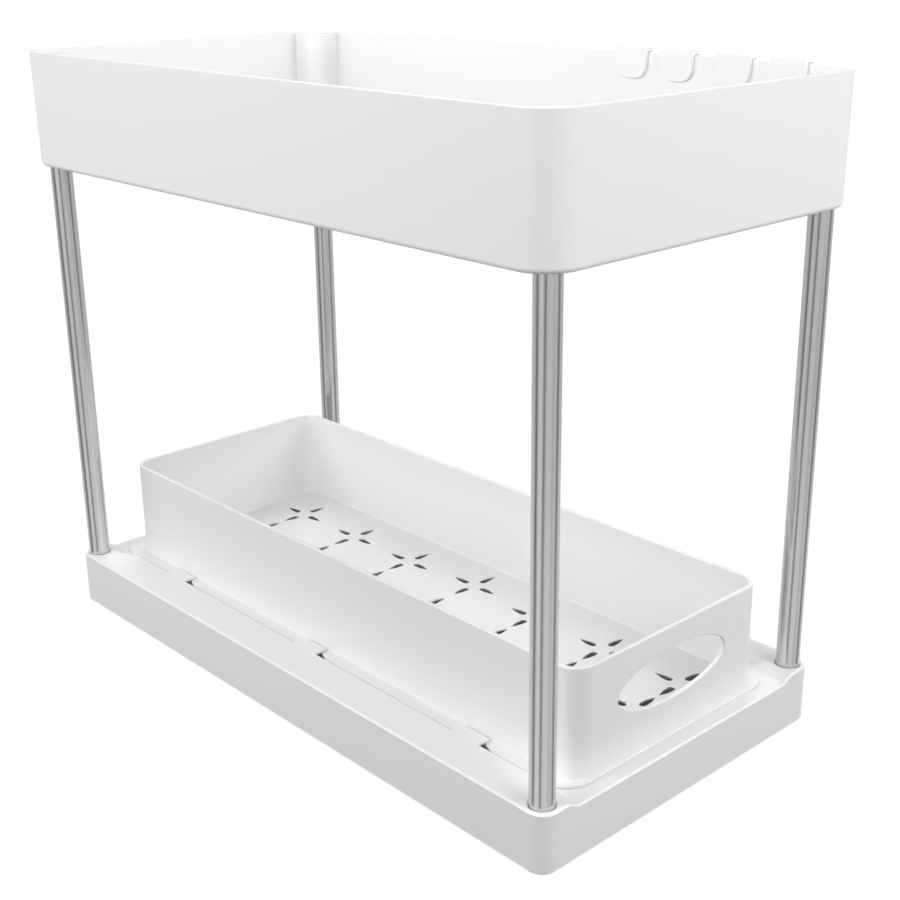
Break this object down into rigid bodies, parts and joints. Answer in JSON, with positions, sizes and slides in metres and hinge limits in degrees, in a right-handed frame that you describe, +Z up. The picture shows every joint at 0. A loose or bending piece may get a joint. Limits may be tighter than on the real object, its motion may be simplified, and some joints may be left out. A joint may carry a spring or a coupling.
{
  "type": "under sink organizer",
  "caption": "Narrow two-level organizer: a deep upper tray on slim steel tubes over a base frame with a pull-out drawer, with small hooks over the tray's long wall.",
  "frame": {"origin": "middle of the whole outline, hooks included, on the surface that the organizer stands on", "axes": "+Z up; +Y along the organizer, from the front, where the drawer comes out, to the back; +X across, towards the long wall that carries the hooks"},
  "size_m": [0.2252, 0.399, 0.3324],
  "materials": {
    "white_plastic": "satin gloss",
    "tube_steel": "bright, brushed along the tube"
  },
  "bodies": {
    "frame": {"base_frame": "white_plastic", "post_front_left": "tube_steel", "post_front_right": "tube_steel", "post_back_left": "tube_steel", "post_back_right": "tube_steel", "top_tray": "white_plastic"},
    "drawer": {"drawer": "white_plastic"},
    "hook_1": {"hook_1": "white_plastic"},
    "hook_2": {"hook_2": "white_plastic"},
    "hook_3": {"hook_3": "white_plastic"},
    "hook_4": {"hook_4": "white_plastic"}
  },
  "joints": [
    {"name": "drawer_slide", "type": "slide", "parent": "frame", "child": "drawer", "axis": [0, -1, 0], "range_m": [0, 0.24]},
    {"name": "hook_1_lift", "type": "slide", "parent": "frame", "child": "hook_1", "axis": [0, 0, 1], "range_m": [0, 0.02]},
    {"name": "hook_2_lift", "type": "slide", "parent": "frame", "child": "hook_2", "axis": [0, 0, 1], "range_m": [0, 0.02]},
    {"name": "hook_3_lift", "type": "slide", "parent": "frame", "child": "hook_3", "axis": [0, 0, 1], "range_m": [0, 0.02]},
    {"name": "hook_4_lift", "type": "slide", "parent": "frame", "child": "hook_4", "axis": [0, 0, 1], "range_m": [0, 0.02]}
  ]
}
